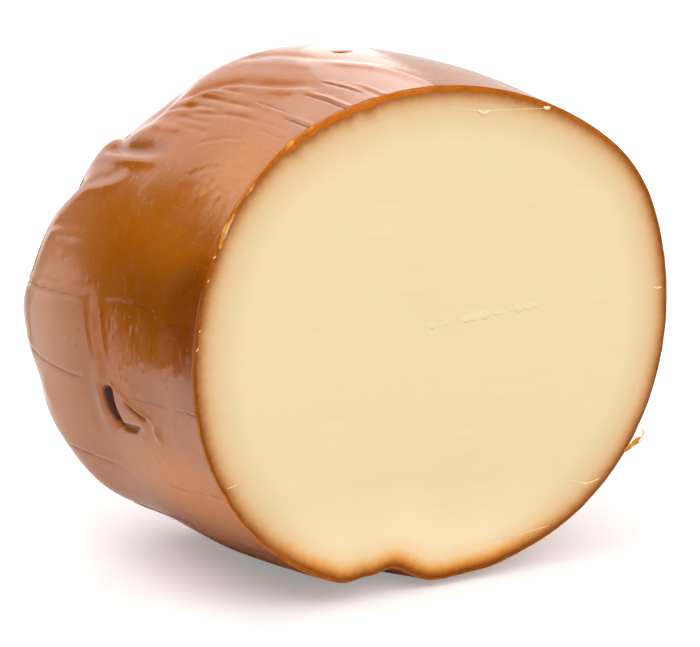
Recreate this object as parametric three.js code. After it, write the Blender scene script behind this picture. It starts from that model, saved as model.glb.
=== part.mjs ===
// Smoked scamorza, the slicing size, cut across: the rounded end that is left after the cut.
// Millimetres, +Z up. The cut face looks along -Y, the rounded end points along +Y, and the
// underside is pressed flat where the cheese rests. The origin is the middle of the underside.

import * as THREE from "three";

// Driving dimensions
const LENGTH = 86;                  // from the cut face to the rounded end
const CUT_RADIUS = 53.6;            // mean radius of the cut face
const FLOOR = -52;                  // where the underside is pressed flat, below the cheese's axis
const LEAN = 8;                     // how far the rounded end leans towards -X
const AROUND = 120;                 // vertices in one ring
const RINGS = 26;                   // rings from the cut face to the rounded end
const HUB = 12;                     // vertices of the plain ring inside the cut face
const HUB_SHARE = 0.5;              // its size, as a share of the cut face

// The cut face's edge departs from a circle by a few waves: [waves in a turn, height, crest angle].
const EDGE_WAVES = [
  [1, 0.4, -111],
  [2, 2.9, 4],
  [3, 0.35, 2],
  [4, 0.6, 41],
];

// The crease pressed in under the cheese, and the fuller lips on its right:
// [angle, height, half width in degrees].
const UNDER_CREASE = [
  [255, -3.6, 4.8],
  [266, -1.0, 8],
  [284, 0.4, 5],
];
const CREASE_SHORT_REACH = 0.12;    // shares of the length over which the crease fades
const CREASE_LONG_REACH = 0.5;
const CREASE_LONG_SHARE = 0.6;

// Behind the cut the body swells, and then it rounds off into the end. Shares are of the length.
const LEFT = { swell: 0.13, place: 0.86, reach: 0.20, rounding: 0.33, power: 1.95 };
const RIGHT = { swell: 0.10, place: 0.50, reach: 0.45, rounding: 0.46, power: 2.0 };
const TOP = { swell: 0.21, place: 0.48, reach: 0.46, rounding: 0.51, power: 1.7 };
const UNDERSIDE = { swell: 0.15, place: 0.42, reach: 0.50, rounding: 0.31, power: 1.85 };

// Folds and hollows of the rind: where (angle in degrees, depth behind the cut in mm), half sizes
// across and along in mm, height, and how many degrees the fold turns for each mm of depth.
const FOLDS = [
  { angle: 195, depth: 35, across: 4, along: 4, height: -3, turn: 0 },      // pocket
  { angle: 195.5, depth: 26, across: 3, along: 6, height: 1.2, turn: 0 },   // flap over the pocket
  { angle: 143, depth: 44, across: 3.5, along: 12, height: -2, turn: -0.1 },
  { angle: 148, depth: 44, across: 3, along: 10, height: 1.2, turn: -0.1 },
  { angle: 123, depth: 28, across: 3, along: 16, height: -1.6, turn: 0.5 },
  { angle: 128, depth: 26, across: 3, along: 16, height: 1, turn: 0.5 },
  { angle: 134, depth: 26, across: 3, along: 16, height: -1, turn: 0.25 },
  { angle: 113, depth: 10, across: 3, along: 9, height: -0.8, turn: 0.4 },
  { angle: 103, depth: 24, across: 4, along: 16, height: 0.8, turn: 0.5 },
  { angle: 159, depth: 58, across: 3, along: 10, height: -1, turn: 0 },
];

// Shallow grooves that a net pressed along the rind, one every so many degrees all round.
const GROOVE = { first: 12, spacing: 16.2, width: 2.2, depth: 0.5, start: 45, fade: 12 };

const TURN = 360;
const toRadians = THREE.MathUtils.degToRad;

/** Signed difference between two angles in degrees, from -180 to 180. */
function angleBetween(a, b) {
  return THREE.MathUtils.euclideanModulo(a - b + TURN / 2, TURN) - TURN / 2;
}

/** Bell curve: 1 at the middle, falling off over the given half width. */
function bell(distance, halfWidth) {
  return Math.exp(-((distance / halfWidth) ** 2));
}

/** Radius of the body's section at an angle, before it swells, at a share of the length. */
function sectionRadius(angle, share) {
  let radius = CUT_RADIUS;
  for (const [waves, height, crest] of EDGE_WAVES) {
    radius += height * Math.cos(toRadians(waves * (angle - crest)));
  }
  const fade = CREASE_LONG_SHARE * bell(share, CREASE_LONG_REACH)
    + (1 - CREASE_LONG_SHARE) * bell(share, CREASE_SHORT_REACH);
  for (const [place, height, halfWidth] of UNDER_CREASE) {
    radius += fade * height * bell(angleBetween(angle, place), halfWidth);
  }
  return radius;
}

/** Scale of one side's section at a share of the length: 1 at the cut, 0 at the rounded end. */
function sideScale(share, { swell, place, reach, rounding, power }) {
  const swollen = 1 + swell * (bell(share - place, reach) - bell(place, reach));
  const past = Math.max(0, (share - (1 - rounding)) / rounding);
  return swollen * Math.max(0, 1 - past ** power) ** (1 / power);
}

/** Height of the folds and grooves over the plain body, in mm. */
function relief(angle, depth, share) {
  let height = 0;
  for (const fold of FOLDS) {
    const along = depth - fold.depth;
    const turned = angleBetween(angle, fold.angle + fold.turn * along);
    const across = toRadians(turned) * CUT_RADIUS;
    height += fold.height * bell(across, fold.across) * bell(along, fold.along);
  }
  const fromGroove = angleBetween((angle - GROOVE.first) * TURN / GROOVE.spacing, 0);
  const across = toRadians(fromGroove * GROOVE.spacing / TURN) * CUT_RADIUS;
  const deepening = 1 / (1 + Math.exp((GROOVE.start - depth) / GROOVE.fade));
  height -= GROOVE.depth * bell(across, GROOVE.width) * deepening;
  const atTheEnds = Math.min(1, share / 0.05) * Math.min(1, (1 - share) / 0.15);
  return height * atTheEnds;
}

/** Point of the surface at an angle and a share of the length. */
function surfacePoint(angle, share) {
  const radius = sectionRadius(angle, share);
  const [across, up] = [Math.cos(toRadians(angle)), Math.sin(toRadians(angle))];
  const bump = relief(angle, LENGTH * share, share);
  const x = radius * across * sideScale(share, across < 0 ? LEFT : RIGHT) + bump * across;
  const z = radius * up * sideScale(share, up > 0 ? TOP : UNDERSIDE) + bump * up;
  return new THREE.Vector3(x - LEAN * share ** 2, LENGTH * share, Math.max(FLOOR, z));
}

/** Vertices: rings from the cut face to the rounded end, its pole, the hub and its middle. */
function cheesePoints() {
  const points = [];
  for (let ring = 0; ring < RINGS; ring += 1) {
    const share = Math.sin(0.5 * Math.PI * ring / RINGS);
    for (let i = 0; i < AROUND; i += 1) {
      points.push(surfacePoint(i * TURN / AROUND, share));
    }
  }
  points.push(new THREE.Vector3(-LEAN, LENGTH, 0));
  for (let i = 0; i < HUB; i += 1) {
    points.push(surfacePoint(i * TURN / HUB, 0).multiplyScalar(HUB_SHARE));
  }
  points.push(new THREE.Vector3(0, 0, 0));
  return points;
}

/** Triangles of the closed surface, facing outwards, as indices into the vertices. */
function cheeseTriangles() {
  const triangles = [];
  const vertex = (ring, i) => ring * AROUND + (i % AROUND);
  const pole = RINGS * AROUND;
  const hub = (i) => pole + 1 + (i % HUB);
  const middle = pole + 1 + HUB;
  for (let i = 0; i < AROUND; i += 1) {
    for (let ring = 0; ring < RINGS - 1; ring += 1) {
      const [a, b] = [vertex(ring, i), vertex(ring, i + 1)];
      const [c, d] = [vertex(ring + 1, i + 1), vertex(ring + 1, i)];
      triangles.push(a, c, b, a, d, c);
    }
    triangles.push(pole, vertex(RINGS - 1, i + 1), vertex(RINGS - 1, i));
  }
  const perHub = AROUND / HUB;
  for (let h = 0; h < HUB; h += 1) {
    for (let i = h * perHub; i < (h + 1) * perHub; i += 1) {
      triangles.push(hub(h), vertex(0, i), vertex(0, i + 1));
    }
    triangles.push(hub(h), vertex(0, (h + 1) * perHub), hub(h + 1));
    triangles.push(middle, hub(h), hub(h + 1));
  }
  return triangles;
}

/** The cheese's closed surface, moved so that the middle of its underside is the origin. */
function cheeseGeometry() {
  const geometry = new THREE.BufferGeometry().setFromPoints(cheesePoints());
  geometry.setIndex(cheeseTriangles());
  geometry.computeBoundingBox();
  const box = geometry.boundingBox;
  const middle = box.getCenter(new THREE.Vector3());
  geometry.translate(-middle.x, -middle.y, -box.min.z);
  geometry.computeVertexNormals();
  return geometry;
}

const rind = new THREE.MeshStandardMaterial({
  name: "smoked_rind",
  color: new THREE.Color(0xb4713a),
  roughness: 0.35,
  metalness: 0,
});

const scamorza = new THREE.Mesh(cheeseGeometry(), rind);
scamorza.name = "scamorza";

const group = new THREE.Group();
group.add(scamorza);

export default group;
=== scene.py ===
"""Looks of a smoked scamorza cut across: its knife-cut face, its folded, glossy smoked rind, and the
burrs, crumbs and shreds that the knife left along the cut.

Lengths are in millimetres in the classes of the cheese, and in metres in those of the finishes and
the studio. A place on the rind is an angle in degrees round the cheese, from +X over the top, and a
depth in mm behind the cut.
"""

import logging
import math
from dataclasses import dataclass, field
from enum import Enum

import bpy
import numpy as np
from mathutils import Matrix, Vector


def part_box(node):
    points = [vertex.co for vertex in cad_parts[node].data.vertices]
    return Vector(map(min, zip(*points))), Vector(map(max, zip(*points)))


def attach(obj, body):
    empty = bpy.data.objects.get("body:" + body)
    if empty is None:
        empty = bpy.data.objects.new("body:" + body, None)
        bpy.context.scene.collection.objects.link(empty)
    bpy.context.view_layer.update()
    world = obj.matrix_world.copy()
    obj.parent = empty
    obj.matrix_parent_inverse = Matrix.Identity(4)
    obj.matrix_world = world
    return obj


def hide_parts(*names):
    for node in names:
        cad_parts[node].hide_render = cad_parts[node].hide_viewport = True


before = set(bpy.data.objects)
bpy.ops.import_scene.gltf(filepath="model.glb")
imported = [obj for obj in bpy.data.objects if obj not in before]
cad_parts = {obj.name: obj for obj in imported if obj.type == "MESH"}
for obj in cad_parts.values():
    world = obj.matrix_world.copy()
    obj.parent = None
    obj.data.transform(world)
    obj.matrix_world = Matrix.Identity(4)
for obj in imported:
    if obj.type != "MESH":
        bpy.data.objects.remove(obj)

MM = 0.001
TURN = 360.0
TINY = 1e-9
WHITE = (1.0, 1.0, 1.0, 1.0)
BLACK = (0.0, 0.0, 0.0, 1.0)
CAD_NODE = "scamorza"
log = logging.getLogger("scamorza")


class Slot(Enum):
    """Material slot names for the rind and the paste."""

    RIND = "smoked_rind"
    PASTE = "cheese_paste"


class Mask(Enum):
    """Values kept on the mesh's points for the finishes to read."""

    FROM_RIM = "from_rim"
    RIND_WIDTH = "rind_width"
    RIND_TONE = "rind_tone"
    GLOW = "painted_glow"
    BLOOM = "painted_sheen"
    STAIN = "hollow_shade"
    SMOKE = "smoke"


def bell(distance: np.ndarray, half_width: float) -> np.ndarray:
    """Bell curve that is 1 at the middle."""
    return np.exp(-((distance / half_width) ** 2))


def ramp(value: np.ndarray, start: float, end: float) -> np.ndarray:
    """Smooth step from 0 at start to 1 at end."""
    t = np.clip((value - start) / (end - start), 0.0, 1.0)
    return t * t * (3.0 - 2.0 * t)


def turn_between(a: np.ndarray, b: float) -> np.ndarray:
    """Signed difference of two angles in degrees, from -180 to 180."""
    return (a - b + TURN / 2) % TURN - TURN / 2


def deselect_all() -> None:
    """Leave edit mode and deselect every object."""
    if bpy.context.object is not None and bpy.context.object.mode != "OBJECT":
        bpy.ops.object.mode_set(mode="OBJECT")
    bpy.ops.object.select_all(action="DESELECT")


# ---------------------------------------------------------------- the plain body


@dataclass(frozen=True)
class Profile:
    """How one side of the body swells behind the cut and rounds off; shares of the length."""

    swell: float
    place: float
    reach: float
    rounding: float
    power: float

    def scale(self, share: np.ndarray) -> np.ndarray:
        """Scale of the section behind the cut.

        Args:
            share: Shares of the length.

        Returns:
            The scales: 1 at the cut, 0 at the end.
        """
        swollen = 1.0 + self.swell * (bell(share - self.place, self.reach) - bell(self.place, self.reach))
        past = np.clip((share - (1.0 - self.rounding)) / self.rounding, 0.0, 1.0)
        return swollen * (1.0 - past**self.power) ** (1.0 / self.power)


@dataclass(frozen=True)
class BodyForm:
    """The cheese without its folds, as a formula of the angle and the share of the length."""

    length: float = 86.0
    cut_radius: float = 53.6
    floor: float = -52.0
    lean: float = 8.0
    edge_waves: tuple = ((1, 0.4, -111.0), (2, 2.9, 4.0), (3, 0.35, 2.0), (4, 0.6, 41.0))
    under_crease: tuple = ((254.6, -3.5, 4.6), (248.2, -1.4, 3.2), (260.5, -1.7, 4.6), (284.0, 0.4, 5.0))
    crease_long_reach: float = 0.5
    crease_short_reach: float = 0.12
    crease_long_share: float = 0.6
    angle_step: float = 0.1
    share_step: float = 1e-3
    last_share: float = 0.9999
    backward_lean: float = 0.3
    widest_angles: tuple = (-60, 60, 61)
    widest_shares: tuple = (0, 0.9, 46)
    left: Profile = Profile(0.13, 0.86, 0.20, 0.33, 1.95)
    right: Profile = Profile(0.10, 0.50, 0.45, 0.46, 2.0)
    top: Profile = Profile(0.21, 0.48, 0.46, 0.51, 1.7)
    underside: Profile = Profile(0.15, 0.42, 0.50, 0.31, 1.85)

    def section_radius(self, angle: np.ndarray, share: np.ndarray) -> np.ndarray:
        """Radius of the section at an angle, before it swells.

        Args:
            angle: Angles round the cheese.
            share: Shares of the length behind the cut, from 0 to 1.

        Returns:
            The radii in mm.
        """
        radius = self.cut_radius + 0.0 * angle
        for waves, height, crest in self.edge_waves:
            radius = radius + height * np.cos(np.radians(waves * (angle - crest)))
        fade = self.crease_long_share * bell(share, self.crease_long_reach)
        fade = fade + (1.0 - self.crease_long_share) * bell(share, self.crease_short_reach)
        for place, height, half_width in self.under_crease:
            radius = radius + fade * height * bell(turn_between(angle, place), half_width)
        return radius

    def point(self, angle: np.ndarray, share: np.ndarray) -> np.ndarray:
        """Places on the plain body.

        Args:
            angle: Angles round the cheese.
            share: Shares of the length behind the cut, from 0 to 1.

        Returns:
            Points in mm from the middle of the cut, one row each.
        """
        radius = self.section_radius(angle, share)
        across, up = np.cos(np.radians(angle)), np.sin(np.radians(angle))
        sideways = np.where(across < 0, self.left.scale(share), self.right.scale(share))
        upright = np.where(up > 0, self.top.scale(share), self.underside.scale(share))
        x = radius * across * sideways - self.lean * share**2
        z = self.rested(radius * up * upright)
        return np.stack([x, self.length * share, z], axis=-1)

    def rested(self, z: np.ndarray) -> np.ndarray:
        """Heights with everything below the floor pressed up to it."""
        return np.maximum(z, self.floor)

    def normal(self, angle: np.ndarray, share: np.ndarray) -> np.ndarray:
        """Directions square to the plain body.

        Args:
            angle: Angles round the cheese.
            share: Shares of the length behind the cut, from 0 to 1.

        Returns:
            Outward unit normals, one row each.
        """
        low = np.clip(share - self.share_step, 0.0, 1.0)
        high = np.clip(share + self.share_step, 0.0, self.last_share)
        around = self.point(angle + self.angle_step, share) - self.point(angle - self.angle_step, share)
        along = self.point(angle, high) - self.point(angle, low)
        normal = np.cross(around, along)
        length = np.linalg.norm(normal, axis=-1, keepdims=True)
        fallback = np.zeros_like(normal)
        fallback[:, 1] = 1.0
        normal = np.where(length > TINY, normal / np.maximum(length, TINY), fallback)
        backward = self.backward_lean + 0.0 * angle
        outward = np.stack([np.cos(np.radians(angle)), backward, np.sin(np.radians(angle))], -1)
        flip = np.sign((normal * outward).sum(-1, keepdims=True))
        return normal * np.where(flip == 0, 1.0, flip)

    def middle_of_cut(self, low: Vector, high: Vector) -> Vector:
        """Where the middle of the cut lies in the frame.

        Args:
            low: The lowest corner of the CAD body's box, in metres.
            high: Its highest corner.

        Returns:
            The place, in metres.
        """
        angle, share = np.meshgrid(np.linspace(*self.widest_angles), np.linspace(*self.widest_shares))
        reach = self.point(angle.ravel(), share.ravel())[:, 0].max()
        return Vector((high.x - reach * MM, low.y, low.z - self.floor * MM))


# ---------------------------------------------------------------- marks on the rind

# how many half widths from the middle a bell curve still counts
BELL_REACH = 3.0


def smooth_path(path: tuple, steps: int = 6) -> np.ndarray:
    """A rounded line through the places of a path.

    Args:
        path: Places, given as (angle, depth).
        steps: Points for each stretch between two places.

    Returns:
        The line's points, as rows of (angle, depth).
    """
    pts = np.array(path, float)
    pts = np.vstack([2 * pts[0] - pts[1], pts, 2 * pts[-1] - pts[-2]])
    line = []
    for k in range(1, len(pts) - 2):
        p0, p1, p2, p3 = pts[k - 1], pts[k], pts[k + 1], pts[k + 2]
        for t in np.arange(steps) / steps:
            line.append(0.5 * (2 * p1 + (p2 - p0) * t + (2 * p0 - 5 * p1 + 4 * p2 - p3) * t**2
                               + (3 * p1 - p0 - 3 * p2 + p3) * t**3))
    line.append(pts[-2])
    return np.array(line)


@dataclass(frozen=True)
class Crease:
    """A fold line in the rind through a few places, given as (angle, depth).

    sink is how deep it goes, and near and far are its half widths towards the smaller and the
    larger angle. A ridge may stand beside it, at a distance that is positive towards larger
    angles. Both ends fade over a share of the length. The last two fields are painted shade: how
    dark the line's colour is made, over a half width of its own, for the shade in the fold; 0.8 is
    the full painted shade of a crease, and past it the line darkens to a pit's.
    """

    path: tuple
    sink: float
    near: float = 0.3
    far: float = 0.3
    ridge: float = 0.0
    ridge_at: float = 0.0
    ridge_width: float = 0.6
    fade_in: float = 0.25
    fade_out: float = 0.25
    hollow_shade: float = 0.0
    hollow_shade_width: float = 0.3

    def marked(self, angle: np.ndarray, depth: np.ndarray, mm_per_degree: float) -> tuple:
        """What the crease does to points of the rind.

        Args:
            angle: Angles of the points.
            depth: Their depths in mm behind the cut.
            mm_per_degree: How far one degree reaches on the rind.

        Returns:
            Heights over the plain body in mm, and how much painted shade darkens the rind in the fold.
        """
        line = smooth_path(self.path)
        middle = float(line[:, 0].mean())
        across = turn_between(angle, middle) * mm_per_degree
        px, py = (line[:, 0] - middle) * mm_per_degree, line[:, 1]
        ridge_reach = abs(self.ridge_at) + self.ridge_width
        reach = BELL_REACH * max(self.near, self.far, ridge_reach, self.hollow_shade_width)
        near = (across > px.min() - reach) & (across < px.max() + reach)
        near &= (depth > py.min() - reach) & (depth < py.max() + reach)
        height, hollow_shade = np.zeros(angle.shape), np.zeros(angle.shape)
        if near.any():
            height[near], hollow_shade[near] = self._profile(across[near], depth[near], px, py)
        return height, hollow_shade

    def _profile(self, x: np.ndarray, y: np.ndarray, px: np.ndarray, py: np.ndarray) -> tuple:
        """The crease's cross-section at points near its line, all in mm.

        Args:
            x: The points' places across.
            y: Their depths.
            px: The places across of the line's points.
            py: Their depths.

        Returns:
            The points' heights and how much painted shade darkens them.
        """
        pieces = np.hypot(np.diff(px), np.diff(py))
        travelled = np.concatenate([[0.0], np.cumsum(pieces)])
        best, signed, along = np.full(x.shape, np.inf), np.zeros(x.shape), np.zeros(x.shape)
        for k, piece in enumerate(pieces):
            dx, dy = (px[k + 1] - px[k]) / piece, (py[k + 1] - py[k]) / piece
            rx, ry = x - px[k], y - py[k]
            t = np.clip(rx * dx + ry * dy, 0.0, piece)
            gap = np.hypot(rx - t * dx, ry - t * dy)
            closer = gap < best
            best = np.where(closer, gap, best)
            signed = np.where(closer, np.where(rx * dy - ry * dx < 0, -gap, gap), signed)
            along = np.where(closer, (travelled[k] + t) / travelled[-1], along)
        taper = np.ones(x.shape)
        if self.fade_in > 0:
            taper = taper * ramp(along, 0.0, self.fade_in)
        if self.fade_out > 0:
            taper = taper * (1.0 - ramp(along, 1.0 - self.fade_out, 1.0))
        width = np.where(signed > 0, self.far, self.near)
        height = -self.sink * np.exp(-((best / width) ** 2))
        height = height + self.ridge * bell(signed - self.ridge_at, self.ridge_width)
        return height * taper, self.hollow_shade * bell(best, self.hollow_shade_width) * taper


@dataclass(frozen=True)
class Swelling:
    """A soft round bump, or a hollow where its rise is negative."""

    angle: float
    depth: float
    across: float
    along: float
    rise: float

    def marked(self, angle: np.ndarray, depth: np.ndarray, mm_per_degree: float) -> tuple:
        """What the bump does to points of the rind.

        Args:
            angle: Angles of the points.
            depth: Their depths in mm behind the cut.
            mm_per_degree: How far one degree reaches on the rind.

        Returns:
            Heights over the plain body in mm, and no darkness.
        """
        u = turn_between(angle, self.angle) * mm_per_degree / self.across
        v = (depth - self.depth) / self.along
        return self.rise * np.exp(-(u**2) - v**2), 0.0


@dataclass(frozen=True)
class Undulation:
    """Gentle unevenness of the whole body: a few waves with random places."""

    seed: int
    rise: float
    waves: int
    most_round: int
    shortest: float

    def marked(self, angle: np.ndarray, depth: np.ndarray, mm_per_degree: float) -> tuple:
        """What the waves do to points of the rind.

        Args:
            angle: Angles of the points.
            depth: Their depths in mm behind the cut.
            mm_per_degree: Not used.

        Returns:
            Heights over the plain body in mm, and no darkness.
        """
        rng = np.random.default_rng(self.seed)
        total = np.zeros(angle.shape)
        for _ in range(self.waves):
            turns = int(rng.integers(1, self.most_round + 1))
            slope = rng.uniform(-1.0, 1.0) * 2 * math.pi / self.shortest
            phase = rng.uniform(0, 2 * math.pi)
            total += np.cos(turns * np.radians(angle) + slope * depth + phase)
        return total * self.rise / math.sqrt(self.waves), 0.0


@dataclass(frozen=True)
class Pimples:
    """Fine bumps of the smoked skin, or pits where the rise is negative, scattered over a stretch."""

    seed: int
    count: int
    angles: tuple
    depths: tuple
    size: tuple
    rise: tuple
    stretch: float = 1.6
    pit_shade: float = 0.5

    def marked(self, angle: np.ndarray, depth: np.ndarray, mm_per_degree: float) -> tuple:
        """What the pimples and pits do to points of the rind.

        Args:
            angle: Angles of the points.
            depth: Their depths in mm behind the cut.
            mm_per_degree: How far one degree reaches on the rind.

        Returns:
            Heights over the plain body in mm, and a little painted shade in the pits.
        """
        rng = np.random.default_rng(self.seed)
        total, hollow_shade = np.zeros(angle.shape), np.zeros(angle.shape)
        for _ in range(self.count):
            at_angle, at_depth = rng.uniform(*self.angles), rng.uniform(*self.depths)
            size, rise = rng.uniform(*self.size), rng.uniform(*self.rise)
            near = np.abs(depth - at_depth) < BELL_REACH * size
            u = turn_between(angle[near], at_angle) * mm_per_degree / rng.uniform(1.0, self.stretch)
            v = depth[near] - at_depth
            total[near] += rise * np.exp(-(u**2 + v**2) / size**2)
            # pits darken the rind's colour as painted shade
            if rise < 0:
                hollow_shade[near] += self.pit_shade * np.exp(-(u**2 + v**2) / size**2)
        return total, hollow_shade


BODY_FIT = (
    Swelling(195.0, 67, 6.0, 8.0, -1.0),
    Swelling(177.0, 68, 6.0, 8.0, 0.8),
    Swelling(221.0, 61, 7.0, 8.0, 0.7),
    Swelling(232.0, 47, 5.0, 9.0, -0.8),
    Swelling(147.0, 65, 3.6, 6.0, -1.2),
    Swelling(137.5, 60, 4.0, 5.0, 1.1),
    Swelling(130.5, 52, 6.5, 6.5, -2.0),
    Swelling(76.0, 34, 24.0, 18.0, -0.9),
    Swelling(33.0, 0, 14.0, 25.0, 1.0),
)

TOP_FOLDS = (
    Crease(((93, -1), (94, 7), (95.5, 12), (99, 17), (103.5, 21), (107, 26.5), (110, 33), (113, 40)),
           0.0, near=2.0, far=2.0, ridge=0.26, ridge_width=1.8, fade_in=0.1, fade_out=0.15),
    Crease(((102, 20), (106, 26), (109.5, 34), (113.5, 43)),
           0.4, near=2.2, far=2.2, fade_in=0.4, fade_out=0.1, ridge=0.12, ridge_at=4.0, ridge_width=2.0),
    Crease(((93.6, 31), (95.5, 29.4), (98, 29.2), (99.5, 31)), 0.4, near=0.5, far=0.7,
           hollow_shade=0.5, hollow_shade_width=0.5),
    Crease(((105.9, -1), (106.7, 6), (107.8, 10.5)), 0.0, ridge=0.16, ridge_width=0.35,
           fade_in=0.0, fade_out=0.4),
    Crease(((107.4, -1), (108.2, 7)), 0.12, near=0.3, far=0.3, hollow_shade=0.3, fade_in=0.0, fade_out=0.4),
    Crease(((109.2, 2.5), (110.2, 7), (111.4, 11), (113.4, 15.6)), 0.18, near=0.25, far=0.22,
           hollow_shade=0.8, hollow_shade_width=0.2, fade_in=0.4, ridge=0.12, ridge_at=-0.8, ridge_width=0.4),
    Crease(((116.2, -1), (116.9, 6), (117.9, 10), (119.2, 14.5)), 0.24, near=0.28, far=0.24,
           hollow_shade=0.9, hollow_shade_width=0.22, ridge=0.2, ridge_at=-1.0, ridge_width=0.5,
           fade_in=0.0, fade_out=0.35),
    Crease(((113.2, 11), (115.3, 14), (117.5, 17.3), (119.7, 21), (121.6, 26), (123, 30.5),
            (124.8, 34), (127.4, 37.8), (129.3, 40.5), (131, 43.5)),
           0.7, near=1.9, far=0.7, ridge=0.32, ridge_at=2.0, ridge_width=1.7,
           fade_in=0.4, fade_out=0.12, hollow_shade=0.5, hollow_shade_width=0.32),
    Crease(((125.4, -1), (125.9, 5), (126.6, 10.8)), 0.2, near=0.28, far=0.24,
           hollow_shade=0.9, hollow_shade_width=0.22, ridge=0.16, ridge_at=-0.9, ridge_width=0.5,
           fade_in=0.0, fade_out=0.4),
    Crease(((124.5, 8), (125.2, 14), (126.3, 21.5)), 0.15, near=0.28, far=0.24,
           hollow_shade=0.7, hollow_shade_width=0.22, ridge=0.12, ridge_at=0.8, ridge_width=0.5),
    Crease(((126.6, 16), (127.6, 20), (128.7, 26), (129.4, 32), (130.3, 41)), 0.24, near=0.5, far=0.6,
           ridge=0.12, ridge_at=-1.5, ridge_width=1.2, hollow_shade=0.35, hollow_shade_width=0.3),
    Crease(((125.2, 25), (126.2, 31), (127, 37)), 0.26, near=0.5, far=0.5, hollow_shade=0.3, hollow_shade_width=0.35),
    Crease(((130.7, 1), (131.0, 6), (131.4, 13)), 0.1, hollow_shade=0.3),
    Crease(((128.4, 3), (128.9, 8), (129.6, 14)), 0.08, hollow_shade=0.2),
    Crease(((129.8, 12), (130.6, 18), (131.8, 24), (133.2, 29), (134.8, 37)), 0.2, near=0.5, far=0.45,
           ridge=0.1, ridge_at=-1.2, ridge_width=0.7, hollow_shade=0.25),
    Crease(((131.2, 24), (131.8, 32), (132.8, 39)), 0.22, near=0.5, far=0.5, hollow_shade=0.25, hollow_shade_width=0.35),
    Crease(((132.6, 34), (133.2, 40), (134.6, 46)), 0.35, near=0.7, far=0.5, ridge=0.16, ridge_at=1.2,
           ridge_width=0.7, hollow_shade=0.3),
    Crease(((134.9, 25), (135.4, 32), (135.9, 40)), 0.2, near=0.5, far=0.5, hollow_shade=0.2, hollow_shade_width=0.35),
    Crease(((137.0, 23), (137.4, 29), (137.7, 36)), 0.18, near=0.5, far=0.5, hollow_shade=0.2, hollow_shade_width=0.35),
    Crease(((138.2, 31), (138.8, 39), (138.5, 47)), 0.0, ridge=0.26, ridge_width=0.9),
    Crease(((134.2, 9), (135.6, 15), (136.8, 18.5), (139.4, 23.5), (142, 27)), 0.14, near=0.3, far=0.3,
           hollow_shade=0.3, ridge=0.07, ridge_at=0.6, ridge_width=0.3),
    Crease(((140.5, 8), (143, 15), (147, 22)), 0.07, hollow_shade=0.15),
)

SHOULDER_FOLDS = (
    Crease(((143.4, 30), (144.6, 36.5), (145, 43), (143.8, 49), (141, 55), (137.5, 60.5)),
           0.85, near=2.0, far=0.9, ridge=0.42, ridge_at=1.8, ridge_width=1.1,
           fade_in=0.5, fade_out=0.25, hollow_shade=0.3, hollow_shade_width=1.3),
    Crease(((139.5, 52), (135.5, 57), (130.5, 62.5)), 1.2, near=1.4, far=1.0, fade_in=0.3, fade_out=0.3,
           hollow_shade=0.5, hollow_shade_width=0.6),
    Swelling(140.0, 49, 2.5, 5.0, 0.5),
    Crease(((149.6, 42), (149.9, 50), (148.6, 58)), 0.2, near=1.6, far=1.4,
           ridge=0.3, ridge_at=2.2, ridge_width=1.2, fade_in=0.45),
    Crease(((161.2, 46), (160.3, 53), (158.8, 58), (157.4, 63)), 0.2, near=1.2, far=1.0,
           ridge=0.34, ridge_at=1.6, ridge_width=1.0, fade_in=0.45),
    Swelling(166.6, 53.7, 0.8, 0.45, 0.42),
    Swelling(164.2, 56.4, 0.7, 0.4, 0.3),
    Swelling(196.5, 60, 3.0, 2.0, 0.7),
)

NET_GROOVES = (
    Crease(((172.6, -1), (173.2, 6), (174, 11), (175, 14.6)), 0.09, near=0.25, far=0.25,
           hollow_shade=0.6, hollow_shade_width=0.22, ridge=0.08, ridge_at=0.6, ridge_width=0.3, fade_in=0.0),
    Crease(((172.8, 16), (173, 24), (173.6, 31), (174.3, 40)), 0.2, near=0.6, far=0.3,
           hollow_shade=0.4, hollow_shade_width=0.25, ridge=0.1, ridge_at=-0.9, ridge_width=0.5),
    Crease(((174, 42), (174.3, 50), (173.8, 55), (172.7, 60), (171.4, 66), (169.5, 72)),
           0.24, near=0.5, far=0.35, ridge=0.16, ridge_at=-1.3, ridge_width=0.8,
           hollow_shade=0.45, hollow_shade_width=0.28),
    Crease(((189.9, -1), (190.1, 5), (190.6, 11.5)), 0.09, near=0.25, far=0.22,
           hollow_shade=0.85, hollow_shade_width=0.2, fade_in=0.0, fade_out=0.3, ridge=0.1, ridge_at=-0.7,
           ridge_width=0.4),
    Crease(((190.5, 10), (190.9, 20), (191.4, 31)), 0.07, near=0.25, far=0.25, hollow_shade=0.6, hollow_shade_width=0.22),
    Crease(((190.4, 45), (190.6, 52), (189.6, 57), (187.9, 62), (185.3, 69)), 0.28, near=0.5, far=0.4,
           ridge=0.2, ridge_at=-1.3, ridge_width=0.8, hollow_shade=0.5, hollow_shade_width=0.3),
    Crease(((208.2, -1), (208.8, 8), (209.4, 15), (209.8, 33)), 0.09, near=0.3, far=0.25,
           hollow_shade=0.55, hollow_shade_width=0.22, fade_in=0.0, fade_out=0.4),
    Crease(((210, 43), (210.5, 51), (209.9, 57.5), (208.3, 65)), 0.28, near=0.5, far=0.4,
           hollow_shade=0.65, hollow_shade_width=0.3, ridge=0.15, ridge_at=-1.2, ridge_width=0.7),
    Crease(((211, 9), (213, 18), (215.4, 26)), 0.07, hollow_shade=0.2),
    Crease(((160.2, -1), (160.6, 12), (160.4, 30)), 0.12, near=0.4, far=0.3,
           hollow_shade=0.4, hollow_shade_width=0.3, fade_in=0.0),
    Crease(((222, 30), (224, 36), (225, 44)), 0.4, near=1.2, far=0.8, hollow_shade=0.5, hollow_shade_width=0.6),
)

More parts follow.
